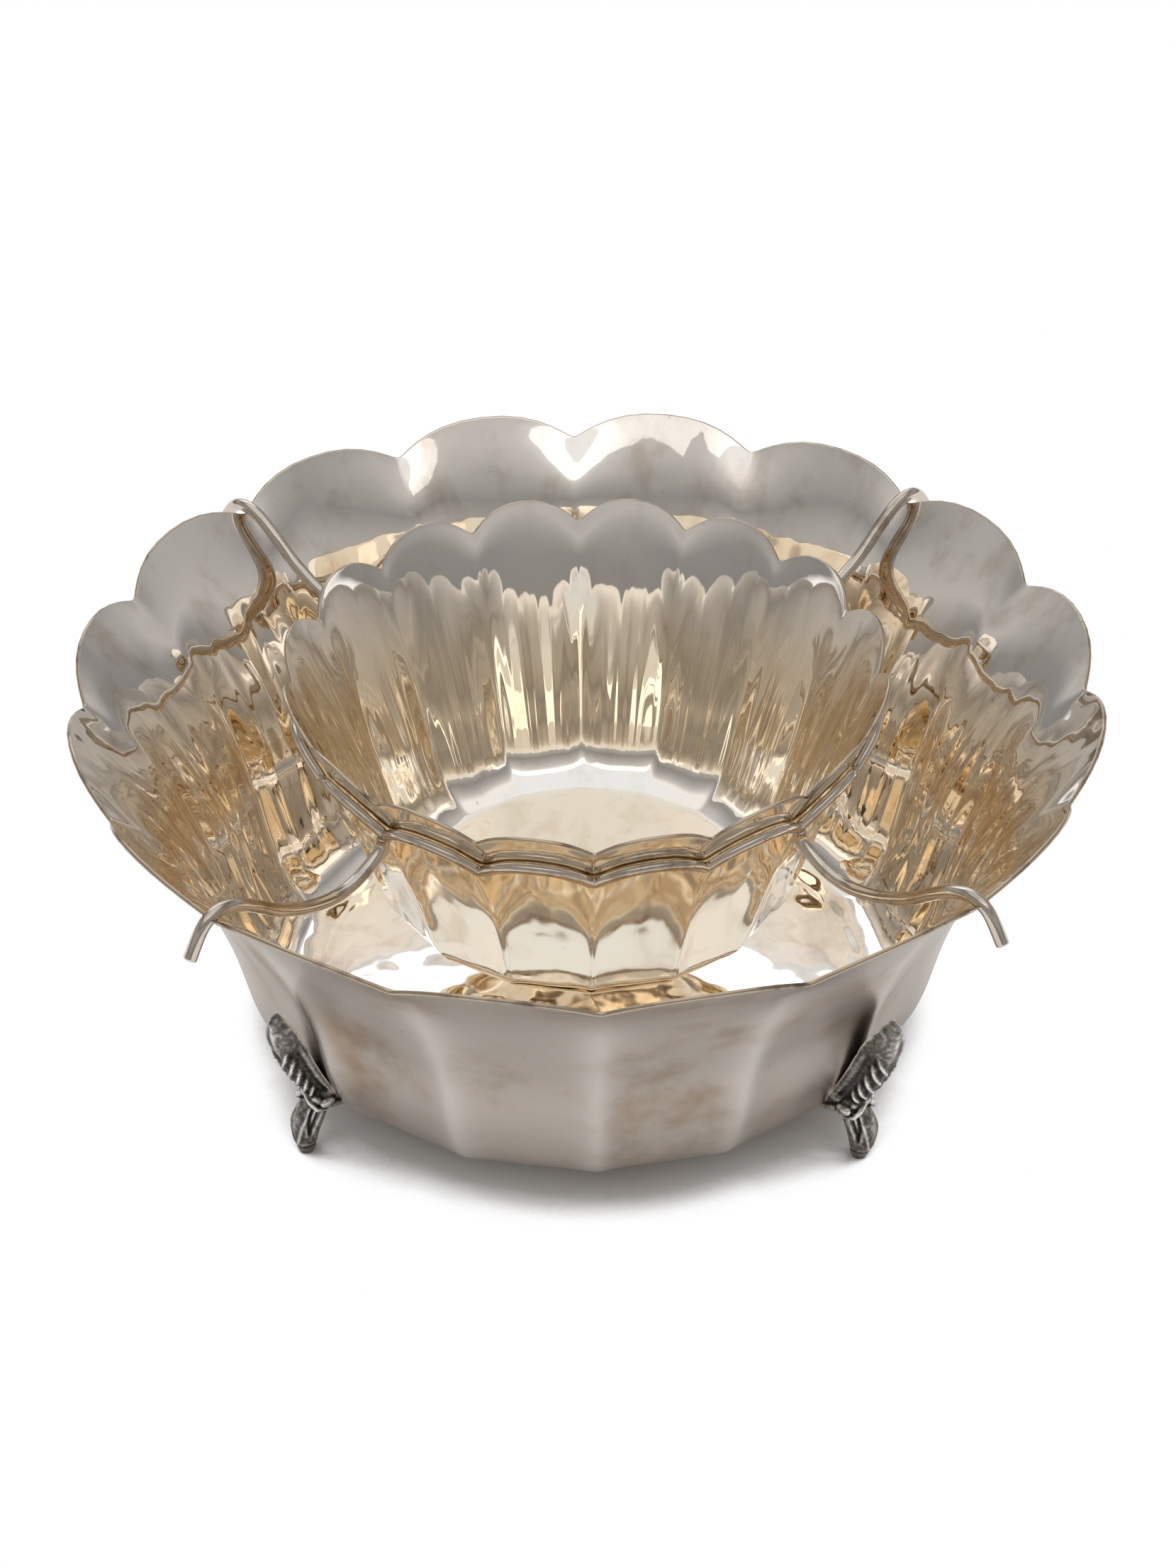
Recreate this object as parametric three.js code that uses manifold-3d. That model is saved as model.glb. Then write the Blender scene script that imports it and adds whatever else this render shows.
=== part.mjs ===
// A silver caviar server: a lobed ice bowl on four cast feet, a wire cradle that hooks over the bowl's rim
// at four of its notches, and a smaller lobed caviar bowl that sits in the cradle's ring.
// Millimetres, +Z up. The bowls share the Z axis, the feet stand on z = 0, and a notch faces the front, -Y.
import * as THREE from "three";
import { ParametricGeometry } from "three/addons/geometries/ParametricGeometry.js";
import { mergeVertices } from "three/addons/utils/BufferGeometryUtils.js";
import Module from "manifold-3d";

// Both bowls
const LOBES = 16;
const PETAL_SQUARENESS = 2.5; // 2 gives a plain arc, more gives a flatter top between rounder shoulders
const PANEL_SQUARENESS = 4; // the same for the hollow panels lower down, between the ribs on the creases
const FIT = 0.3; // air between pieces that touch

// Ice bowl, with heights from its underside and radii along a crease
const ICE_WALL = 1.2;
const ICE_CLEARANCE = 6.5; // table to underside
const ICE_BASE_RADIUS = 72;
const ICE_TURN_RADIUS = 82.5;
const ICE_TURN_HEIGHT = 1.4;
const ICE_HEEL_RADIUS = 90.2;
const ICE_HEEL_HEIGHT = 8;
const ICE_BELLY_RADIUS = 95.6;
const ICE_BELLY_HEIGHT = 20;
const ICE_WAIST_RADIUS = 101.6;
const ICE_WAIST_HEIGHT = 42.5;
const ICE_SHOULDER_RADIUS = 110.4;
const ICE_SHOULDER_HEIGHT = 64;
const ICE_NECK_RADIUS = 119.3;
const ICE_NECK_HEIGHT = 80.5;
const ICE_RIM_RADIUS = 132;
const ICE_RIM_HEIGHT = 92.4;
const ICE_PETAL_SWELL = 4; // how far a petal stands out past its creases at the rim
const ICE_PANEL_DEPTH = 2.5; // how far a panel sinks between its creases at the belly
const ICE_PETAL_RISE = 6.3; // top of a petal above the notches beside it

// Caviar bowl, measured the same way
const CAVIAR_WALL = 1;
const CAVIAR_BASE_RADIUS = 34;
const CAVIAR_TURN_RADIUS = 45.5;
const CAVIAR_TURN_HEIGHT = 1.2;
const CAVIAR_HEEL_RADIUS = 53.5;
const CAVIAR_HEEL_HEIGHT = 6.5;
const CAVIAR_BELLY_RADIUS = 58;
const CAVIAR_BELLY_HEIGHT = 14.5;
const CAVIAR_WAIST_RADIUS = 63;
const CAVIAR_WAIST_HEIGHT = 30;
const CAVIAR_NECK_RADIUS = 72.4; // where the ring lies
const CAVIAR_NECK_HEIGHT = 58.4;
const CAVIAR_RIM_RADIUS = 77.3;
const CAVIAR_LIP_HEIGHT = 10.6; // from there to the rim's notches
const CAVIAR_PETAL_SWELL = 2.7;
const CAVIAR_PANEL_DEPTH = 1.6;
const CAVIAR_PETAL_RISE = 5.9;

// Cradle: a round-wire ring round the caviar bowl's neck, and arms of thicker wire
const RING_WIRE = 2.8;
const RING_DROP = 4; // ring's middle, at its own low points, below the ice bowl's notches
const ARMS = 4;
const ARM_WIRE = 3.5;
const ARM_DIP_RADIUS = 91.5;
const ARM_DIP_DEPTH = 14; // lowest point below the ice bowl's notches
const ARM_CLIMB_INSET = 15; // where the arm crosses the height of the notches, in from the rim
const ARM_START_DROP = 4.2; // below the ring's middle, where the arm turns out from under the ring
const HOOK_REACH = 8.7; // hook's tip outside the rim
const HOOK_DROP = 9.5; // and below its top, which rests on the rim's inner edge

// Cast feet: a leaf that lies on the wall, a rolled knuckle under it, and a short leg
const FEET = 4;
const FOOT_SLIP = 5; // degrees that the front left foot stands off its crease, away from the front
const LEAF_TOP_HEIGHT = 45.5; // on the wall, above the bowl's underside
const LEAF_FOOT_HEIGHT = 6;
const LEAF_WIDTH = 10.8;
const LEAF_HEEL_THICKNESS = 4;
const LEAF_TIP_THICKNESS = 10.5;
const LEAF_TIP_LIFT = 5; // the tip curls this far off the wall
const LEAF_LIFT_START = 0.3; // share of the leaf's length that lies close on the wall
const LEAF_BLUNTNESS = 2.6; // 2 gives an oval, more gives blunter ends and fuller shoulders
const KNUCKLE_HEIGHT = 19.5; // above the table
const KNUCKLE_RADIUS = 3;
const KNUCKLE_LENGTH = 6; // between its round ends
const KNUCKLE_OFFSET = 3.5; // middle outside the wall
const KNEE_DEPTH = 5.2; // leg's section where it meets the knuckle, along the radius
const KNEE_WIDTH = 5;
const CALF_DEPTH = 10; // fullest section, halfway down
const CALF_WIDTH = 7.4;
const CALF_BULGE = 1.6; // calf outside the straight line from knuckle to toe
const ANKLE_DEPTH = 7.4;
const ANKLE_WIDTH = 6;
const TOE_RADIUS = 98.5; // toe's middle from the axis
const TOE_LENGTH = 4.6; // flat of the toe, along the radius
const TOE_WIDTH = 4.2;

// Fineness of the surfaces
const STEPS_PER_LOBE = 6;
const WALL_STEPS = 9;
const WIRE_SIDES = 8;
const ARM_STEPS = 30;
const LEAF_STEPS = 10;
const LEAF_SIDES = 12;
const LEG_STEPS = 6;
const LEG_SIDES = 12;

const TURN = 2 * Math.PI;
const notchHeight = ICE_CLEARANCE + ICE_RIM_HEIGHT;
const caviarRimHeight = CAVIAR_NECK_HEIGHT + CAVIAR_LIP_HEIGHT;
const caviarUnderside = notchHeight - RING_DROP - CAVIAR_NECK_HEIGHT;

const polished = () => new THREE.MeshStandardMaterial({ color: 0xd9d4ca, roughness: 0.12, metalness: 1 });
const satin = () => new THREE.MeshStandardMaterial({ color: 0xb9b4ac, roughness: 0.3, metalness: 1 });
const oxidised = () => new THREE.MeshStandardMaterial({ color: 0x8a8680, roughness: 0.35, metalness: 1 });

// Solid modelling: a closed geometry becomes a solid for a cut or a join, and comes back as a geometry.
const wasm = await Module();
wasm.setup();

function solidFrom(geometry) {
  const bare = geometry.index ? geometry.toNonIndexed() : geometry.clone();
  bare.deleteAttribute("normal");
  bare.deleteAttribute("uv");
  const merged = mergeVertices(bare, 1e-4);
  const vertProperties = merged.attributes.position.array;
  const triVerts = new Uint32Array(merged.index.array);
  return new wasm.Manifold(new wasm.Mesh({ numProp: 3, vertProperties, triVerts }));
}

function geometryFrom(solid) {
  const { vertProperties, triVerts } = solid.getMesh();
  const geometry = new THREE.BufferGeometry();
  geometry.setAttribute("position", new THREE.BufferAttribute(vertProperties, 3));
  geometry.setIndex(new THREE.BufferAttribute(triVerts, 1));
  geometry.computeVertexNormals();
  return geometry;
}

// Lobed walls: a bowl has one curve up its creases, one up its petals' crowns and one up its sunken panels.
// The swell and rise lead out and up from a crease to a crown, and the depth leads in to a panel's middle.
const station = (radius, height, depth, swell, rise) => ({ radius, height, depth, swell, rise });

function bowlForm(stations, wall, underside) {
  const creasePoint = (s) => new THREE.Vector2(s.radius, s.height);
  const crownPoint = (s) => new THREE.Vector2(s.radius + s.swell, s.height + s.rise);
  const panelPoint = (s) => new THREE.Vector2(s.radius - s.depth, s.height);
  const crease = new THREE.SplineCurve(stations.map(creasePoint));
  const crown = new THREE.SplineCurve(stations.map(crownPoint));
  const panel = new THREE.SplineCurve(stations.map(panelPoint));
  return { crease, crown, panel, wall, underside };
}

const iceBowl = bowlForm(
  [
    station(ICE_BASE_RADIUS, 0, 0, 0, 0),
    station(ICE_TURN_RADIUS, ICE_TURN_HEIGHT, 0.4 * ICE_PANEL_DEPTH, 0, 0),
    station(ICE_HEEL_RADIUS, ICE_HEEL_HEIGHT, 0.9 * ICE_PANEL_DEPTH, 0, 0),
    station(ICE_BELLY_RADIUS, ICE_BELLY_HEIGHT, ICE_PANEL_DEPTH, 0, 0),
    station(ICE_WAIST_RADIUS, ICE_WAIST_HEIGHT, 0.9 * ICE_PANEL_DEPTH, 0, 0),
    station(ICE_SHOULDER_RADIUS, ICE_SHOULDER_HEIGHT, 0.6 * ICE_PANEL_DEPTH, 0.3 * ICE_PETAL_SWELL, 0),
    station(ICE_NECK_RADIUS, ICE_NECK_HEIGHT, 0, 0.8 * ICE_PETAL_SWELL, 0.4 * ICE_PETAL_RISE),
    station(ICE_RIM_RADIUS, ICE_RIM_HEIGHT, 0, ICE_PETAL_SWELL, ICE_PETAL_RISE),
  ],
  ICE_WALL,
  ICE_CLEARANCE,
);

const caviarBowl = bowlForm(
  [
    station(CAVIAR_BASE_RADIUS, 0, 0, 0, 0),
    station(CAVIAR_TURN_RADIUS, CAVIAR_TURN_HEIGHT, 0.2 * CAVIAR_PANEL_DEPTH, 0, 0),
    station(CAVIAR_HEEL_RADIUS, CAVIAR_HEEL_HEIGHT, 0.75 * CAVIAR_PANEL_DEPTH, 0, 0),
    station(CAVIAR_BELLY_RADIUS, CAVIAR_BELLY_HEIGHT, CAVIAR_PANEL_DEPTH, 0, 0),
    station(CAVIAR_WAIST_RADIUS, CAVIAR_WAIST_HEIGHT, 0.9 * CAVIAR_PANEL_DEPTH, 0.1 * CAVIAR_PETAL_SWELL, 0),
    station(CAVIAR_NECK_RADIUS, CAVIAR_NECK_HEIGHT, 0, CAVIAR_PETAL_SWELL, 0.93 * CAVIAR_PETAL_RISE),
    station(CAVIAR_RIM_RADIUS, caviarRimHeight, 0, CAVIAR_PETAL_SWELL, CAVIAR_PETAL_RISE),
  ],
  CAVIAR_WALL,
  caviarUnderside,
);

// How far a lobe has swelled or sunk at this place round the bowl: 0 on a crease, 1 halfway to the next.
function pillow(turn, squareness) {
  const share = THREE.MathUtils.euclideanModulo(turn * LOBES, 1);
  return 1 - Math.abs(2 * share - 1) ** squareness;
}

function insetPoint(curve, along, inset) {
  const tangent = curve.getTangent(along);
  return curve.getPoint(along).add(new THREE.Vector2(-tangent.y, tangent.x).multiplyScalar(inset));
}

// Radius and height above the table of a bowl's skin, moved in from the outside by the inset.
function skinPoint(bowl, turn, along, inset) {
  const onCrease = insetPoint(bowl.crease, along, inset);
  const toCrown = insetPoint(bowl.crown, along, inset).sub(onCrease);
  const toPanel = insetPoint(bowl.panel, along, inset).sub(onCrease);
  onCrease.addScaledVector(toCrown, pillow(turn, PETAL_SQUARENESS));
  onCrease.addScaledVector(toPanel, pillow(turn, PANEL_SQUARENESS));
  return new THREE.Vector2(onCrease.x, onCrease.y + bowl.underside);
}

function placeRound(target, turn, point) {
  return target.set(point.x * Math.cos(turn * TURN), point.x * Math.sin(turn * TURN), point.y);
}

// A closed surface from a section that starts and ends on the axis; row 0 is its lower end.
function turnedSection(sectionPoint, rows) {
  const place = (turn, along, target) => {
    placeRound(target, turn % 1, sectionPoint(turn % 1, Math.round(along * rows)));
  };
  return new ParametricGeometry(place, LOBES * STEPS_PER_LOBE, rows);
}

function bowlGeometry(bowl) {
  const rimRow = WALL_STEPS + 1;
  const innerRimRow = rimRow + 1;
  const lastRow = innerRimRow + rimRow;
  const sectionPoint = (turn, row) => {
    if (row === 0) return new THREE.Vector2(0, bowl.underside);
    if (row === lastRow) return new THREE.Vector2(0, bowl.underside + bowl.wall);
    if (row <= rimRow) return skinPoint(bowl, turn, (row - 1) / WALL_STEPS, 0);
    return skinPoint(bowl, turn, (lastRow - 1 - row) / WALL_STEPS, bowl.wall);
  };
  return turnedSection(sectionPoint, lastRow);
}

// All that lies inside a bowl's outer skin and within a gap of it, to cut what is seated on the wall.
function outlineSolid(bowl, gap) {
  const lastRow = WALL_STEPS + 2;
  const sectionPoint = (turn, row) => {
    if (row === 0) return new THREE.Vector2(0, bowl.underside - gap);
    if (row === lastRow) return new THREE.Vector2(0, skinPoint(bowl, 0, 1, 0).y);
    return skinPoint(bowl, turn, (row - 1) / WALL_STEPS, -gap);
  };
  return solidFrom(turnedSection(sectionPoint, lastRow));
}

// The place along a crease where the wall reaches a height above the underside.
function alongAtHeight(curve, height) {
  let low = 0;
  let high = 1;
  for (let i = 0; i < 30; i += 1) {
    const middle = (low + high) / 2;
    if (curve.getPoint(middle).y < height) low = middle;
    else high = middle;
  }
  return (low + high) / 2;
}

// Ring: its wire touches the caviar bowl's neck all the way round, so it swells and rises with the petals.
// The slope is the neck's along the wire: out from the axis, and upwards.
function ringPoint(turn) {
  const neck = alongAtHeight(caviarBowl.crease, CAVIAR_NECK_HEIGHT);
  const step = 1e-3;
  const share = (turn * LOBES) % 1;
  const sideways = share < 0.5 ? step : -step;
  const here = skinPoint(caviarBowl, turn, neck, 0);
  const beside = skinPoint(caviarBowl, turn + sideways, neck, 0);
  const above = skinPoint(caviarBowl, turn, neck + step, 0);
  const run = sideways * TURN * here.x;
  const sideSlope = (beside.x - here.x) / run;
  const riseSlope = (beside.y - here.y) / run;
  const flare = (above.x - here.x) / (above.y - here.y);
  const reach = (RING_WIRE / 2 + FIT) * Math.hypot(1, sideSlope - flare * riseSlope, flare);
  return { radius: here.x + reach, height: here.y, slope: new THREE.Vector2(sideSlope, riseSlope) };
}

function ringGeometry(wireRadius) {
  const place = (turn, round, target) => {
    const middle = ringPoint(turn % 1);
    const angle = (round % 1) * TURN;
    const section = new THREE.Vector2(Math.cos(angle), Math.sin(angle)).multiplyScalar(wireRadius);
    const stretch = section.dot(middle.slope) / (1 + Math.hypot(1, middle.slope.x, middle.slope.y));
    section.addScaledVector(middle.slope, stretch);
    placeRound(target, turn % 1, section.add(new THREE.Vector2(middle.radius, middle.height)));
  };
  return new ParametricGeometry(place, LOBES * STEPS_PER_LOBE, WIRE_SIDES);
}

// Arm: an S-curve from the ring's underside, low over the ice, up to a hook that sits in a rim notch.
function armPath() {
  const halfLobe = (Math.PI * ICE_RIM_RADIUS) / LOBES;
  const notchSlope = (PETAL_SQUARENESS * ICE_PETAL_RISE) / halfLobe;
  const notchEdge = skinPoint(iceBowl, 0, 1, ICE_WALL);
  const crestHeight = notchEdge.y + (ARM_WIRE / 2 + FIT) * Math.hypot(1, notchSlope);
  const dipHeight = notchHeight - ARM_DIP_DEPTH;
  const ringMiddle = ringPoint(0);
  const climb = (share, lift) => {
    const radius = THREE.MathUtils.lerp(ARM_DIP_RADIUS, notchEdge.x, share);
    return new THREE.Vector3(radius, 0, THREE.MathUtils.lerp(dipHeight, crestHeight, lift));
  };
  const start = new THREE.Vector3(ringMiddle.radius, 0, ringMiddle.height);
  const underRing = new THREE.Vector3(start.x + RING_WIRE / 2, 0, start.z - ARM_START_DROP);
  const leaving = underRing.clone().sub(start).setLength(0.43 * RING_WIRE);
  return new THREE.CatmullRomCurve3([
    start.add(leaving),
    underRing,
    new THREE.Vector3((underRing.x + ARM_DIP_RADIUS) / 2, 0, dipHeight + 0.1 * ARM_DIP_DEPTH),
    climb(0, 0),
    climb(0.25, 0.12),
    climb(0.49, 0.38),
    climb(0.69, 0.71),
    climb(0.86, 0.94),
    climb(1, 1),
    new THREE.Vector3(ICE_RIM_RADIUS + 0.45 * HOOK_REACH, 0, crestHeight - 0.24 * HOOK_DROP),
    new THREE.Vector3(ICE_RIM_RADIUS + HOOK_REACH, 0, crestHeight - HOOK_DROP),
  ]);
}

function armGeometry() {
  const section = new THREE.Shape();
  section.absarc(0, 0, ARM_WIRE / 2, 0, TURN);
  const wire = new THREE.ExtrudeGeometry(section, {
    steps: ARM_STEPS,
    extrudePath: armPath(),
    curveSegments: WIRE_SIDES / 2,
  });
  const ringCutter = solidFrom(ringGeometry(RING_WIRE / 2 + FIT));
  return geometryFrom(solidFrom(wire).subtract(ringCutter));
}

// Foot, built with its radius along +X, and cut so that the leaf's back follows the wall. The slip is how
// far round the bowl from a crease the foot stands.
function leafSolid(slip) {
  const top = alongAtHeight(iceBowl.crease, LEAF_TOP_HEIGHT);
  const bottom = alongAtHeight(iceBowl.crease, LEAF_FOOT_HEIGHT);
  const place = (along, round, target) => {
    const spread = (1 - Math.cos(Math.PI * along)) / 2;
    const onWall = THREE.MathUtils.lerp(bottom, top, spread);
    const fullness = (1 - Math.abs(2 * spread - 1) ** LEAF_BLUNTNESS) ** (1 / LEAF_BLUNTNESS);
    const thickness = fullness * THREE.MathUtils.lerp(LEAF_HEEL_THICKNESS, LEAF_TIP_THICKNESS, spread);
    const angle = (round % 1) * TURN;
    const across = Math.sign(Math.cos(angle)) * Math.abs(Math.cos(angle)) ** (2 / LEAF_BLUNTNESS);
    const turn = (0.5 * LEAF_WIDTH * fullness * across) / (TURN * iceBowl.crease.getPoint(onWall).x);
    const curl = Math.max(spread - LEAF_LIFT_START, 0) / (1 - LEAF_LIFT_START);
    const back = LEAF_TIP_LIFT * curl ** 1.5 - ICE_WALL / 2;
    const out = back + thickness * Math.max(Math.sin(angle), 0) ** (2 / LEAF_BLUNTNESS);
    placeRound(target, turn, skinPoint(iceBowl, turn + slip, onWall, -out));
  };
  return solidFrom(new ParametricGeometry(place, LEAF_STEPS, LEAF_SIDES));
}

function knucklePoint(slip) {
  const onWall = alongAtHeight(iceBowl.crease, KNUCKLE_HEIGHT - ICE_CLEARANCE);
  return skinPoint(iceBowl, slip, onWall, -KNUCKLE_OFFSET);
}

function legSolid(knuckle) {
  const sections = new THREE.SplineCurve([
    new THREE.Vector2(TOE_LENGTH, TOE_WIDTH),
    new THREE.Vector2(ANKLE_DEPTH, ANKLE_WIDTH),
    new THREE.Vector2(CALF_DEPTH, CALF_WIDTH),
    new THREE.Vector2(KNEE_DEPTH, KNEE_WIDTH),
  ]);
  const rows = LEG_STEPS + 2;
  const place = (round, along, target) => {
    const row = Math.round(along * rows);
    const share = THREE.MathUtils.clamp((row - 1) / LEG_STEPS, 0, 1);
    const section = sections.getPoint(share);
    const closed = row === 0 || row === rows ? 0 : 0.5;
    const straight = THREE.MathUtils.lerp(TOE_RADIUS, knuckle.x, share);
    const middle = straight + CALF_BULGE * Math.sin(share * Math.PI);
    const angle = (round % 1) * TURN;
    const out = closed * section.x * Math.cos(angle);
    const side = closed * section.y * Math.sin(angle);
    target.set(middle + out, side, knuckle.y * share);
  };
  return solidFrom(new ParametricGeometry(place, LEG_SIDES, rows));
}

function footGeometry(slip) {
  const knuckle = knucklePoint(slip);
  const roll = new THREE.CapsuleGeometry(KNUCKLE_RADIUS, KNUCKLE_LENGTH, 4, LEG_SIDES);
  roll.translate(knuckle.x, 0, knuckle.y);
  const cast = leafSolid(slip).add(solidFrom(roll)).add(legSolid(knuckle));
  return geometryFrom(cast.subtract(outlineSolid(iceBowl, FIT).rotate([0, 0, -360 * slip])));
}

// Assembly: built with a notch on +X, then turned so that this notch faces the front.
const assembly = new THREE.Group();
assembly.name = "caviar_server";
assembly.rotation.z = -Math.PI / 2;

function addPiece(name, geometry, material, notch = 0) {
  const mesh = new THREE.Mesh(geometry, material);
  mesh.name = name;
  mesh.rotation.z = (notch / LOBES) * TURN;
  assembly.add(mesh);
}

const CORNERS = ["front_right", "back_right", "back_left", "front_left"];
const cornerName = (index, count) => (count === CORNERS.length ? CORNERS[index] : String(index + 1));
const notchOf = (index, count) => Math.round(((index + 0.5) * LOBES) / count);

addPiece("ice_bowl", bowlGeometry(iceBowl), satin());
addPiece("caviar_bowl", bowlGeometry(caviarBowl), polished());
addPiece("cradle_ring", ringGeometry(RING_WIRE / 2), polished());
const arm = armGeometry();
for (let i = 0; i < ARMS; i += 1) {
  addPiece("cradle_arm_" + cornerName(i, ARMS), arm, polished(), notchOf(i, ARMS));
}
for (let i = 0; i < FEET; i += 1) {
  const slip = i === FEET - 1 ? -FOOT_SLIP / 360 : 0;
  addPiece("foot_" + cornerName(i, FEET), footGeometry(slip), oxidised(), notchOf(i, FEET) + slip * LOBES);
}

const part = new THREE.Group();
part.add(assembly);
export default part;
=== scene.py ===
import math

import bmesh
import bpy
from mathutils import Matrix, Vector


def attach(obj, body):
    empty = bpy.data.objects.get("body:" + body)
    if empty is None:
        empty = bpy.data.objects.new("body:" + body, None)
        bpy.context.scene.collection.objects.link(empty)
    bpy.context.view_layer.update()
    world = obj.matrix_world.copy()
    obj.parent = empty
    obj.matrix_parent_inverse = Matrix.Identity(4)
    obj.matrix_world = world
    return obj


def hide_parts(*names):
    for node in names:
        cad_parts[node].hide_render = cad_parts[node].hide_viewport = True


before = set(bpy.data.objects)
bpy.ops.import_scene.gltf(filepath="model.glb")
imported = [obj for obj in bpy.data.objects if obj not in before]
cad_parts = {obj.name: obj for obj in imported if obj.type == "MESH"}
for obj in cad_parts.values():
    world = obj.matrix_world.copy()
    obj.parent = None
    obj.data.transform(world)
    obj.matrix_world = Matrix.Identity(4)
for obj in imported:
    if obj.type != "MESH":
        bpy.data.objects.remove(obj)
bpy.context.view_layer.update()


# Ice bowl. A big bowl raised from sheet silver and chased into sixteen lobes: sunken panels with soft ribs
# between them below, and petals with creases between them above. The rim is cut to the petals and
# rounded over, the bottom is flat. It is polished bright inside, with a painted golden reflection on the
# walls, and satin and tarnished grey outside, with its silver darkened further as painted shade and a
# painted highlight along the ribs.
LOBES = 16
ICE_WALL = 0.0012
ICE_UNDERSIDE = 0.0065

# Stations up the wall: radius and height on a crease, how deep the panel sinks between the creases, and
# how far the petal's crown stands out and up.
ICE_STATIONS = [
    (0.0720, 0.0000, 0.00000, 0.0000, 0.00000),
    (0.0825, 0.0014, 0.00100, 0.0000, 0.00000),
    (0.0902, 0.0080, 0.00225, 0.0000, 0.00000),
    (0.0956, 0.0200, 0.00250, 0.0000, 0.00000),
    (0.1016, 0.0425, 0.00225, 0.0000, 0.00000),
    (0.1104, 0.0640, 0.00150, 0.0012, 0.00000),
    (0.1193, 0.0805, 0.00000, 0.0032, 0.00252),
    (0.1320, 0.0924, 0.00000, 0.0040, 0.00630),
]


def along_stations(stations, share):
    """The smooth curve through the stations, at a share of the way up the wall."""
    place = share * (len(stations) - 1)
    span = min(int(place), len(stations) - 2)
    t = place - span
    pick = lambda i: stations[max(0, min(i, len(stations) - 1))]
    before, start, end, after = (pick(span + i) for i in (-1, 0, 1, 2))
    result = []
    for p0, p1, p2, p3 in zip(before, start, end, after):
        v0, v1 = (p2 - p0) / 2, (p3 - p1) / 2
        bend = (2 * (p1 - p2) + v0 + v1) * t**3
        result.append(bend + (3 * (p2 - p1) - 2 * v0 - v1) * t**2 + v0 * t + p1)
    return result


def smooth_step(value, low, high):
    share = max(0, min(1, (value - low) / (high - low)))
    return share * share * (3 - 2 * share)


def on_wall(stations, share, inset):
    """Radius and height on the crease, and from there to the crown and to the panel's middle."""

    def three_curves(at):
        radius, height, depth, swell, rise = along_stations(stations, at)
        crown = Vector((radius + swell, height + rise))
        return Vector((radius, height)), crown, Vector((radius - depth, height))

    step = 1e-3
    moved = []
    for low, here, high in zip(
        three_curves(max(share - step, 0)), three_curves(share), three_curves(min(share + step, 1))
    ):
        run = (high - low).normalized()
        moved.append(here + inset * Vector((-run.y, run.x)))
    crease, crown, panel = moved
    return crease, crown - crease, panel - crease


def petal_and_panel(turns, petal_softness=0.02, panel_softness=0.06):
    """How far a lobe has swelled and sunk at this place round the bowl: 0 on a crease, 1 in the middle."""
    share = turns * LOBES % 1
    from_crease = min(share, 1 - share)
    result = []
    for softness, squareness in ((petal_softness, 2.5), (panel_softness, 4)):
        eased = math.hypot(from_crease, softness) - softness
        result.append(1 - (1 - 2 * eased) ** squareness)
    return result


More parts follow.
